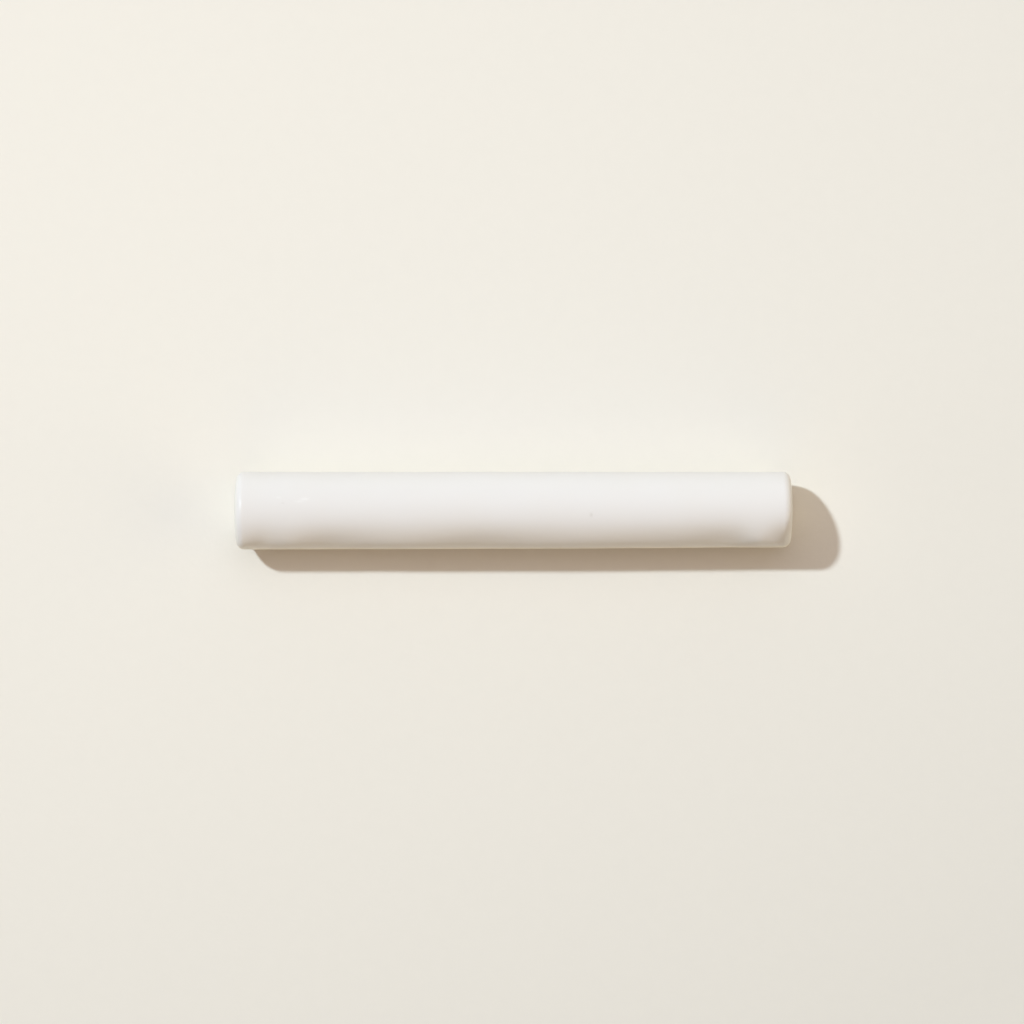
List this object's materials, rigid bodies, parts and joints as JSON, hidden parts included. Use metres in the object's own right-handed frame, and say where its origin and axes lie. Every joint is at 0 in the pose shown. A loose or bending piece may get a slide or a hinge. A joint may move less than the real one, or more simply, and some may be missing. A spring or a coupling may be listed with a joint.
{
  "type": "trim tile",
  "caption": "Slim white glazed ceramic trim tile with a half-round crown, inward-leaning sides, a narrower flat back and softly rounded ends.",
  "frame": {"origin": "centre of the tile's footprint, on the plane of its flat back", "axes": "+X along the tile's length towards its slightly narrower end, +Y across its width, +Z from the back up to the top of the crown"},
  "size_m": [0.15, 0.021, 0.0201],
  "materials": {
    "white_glaze": "satin white glaze"
  },
  "bodies": {
    "root": {"trim_tile": "white_glaze"}
  },
  "joints": []
}
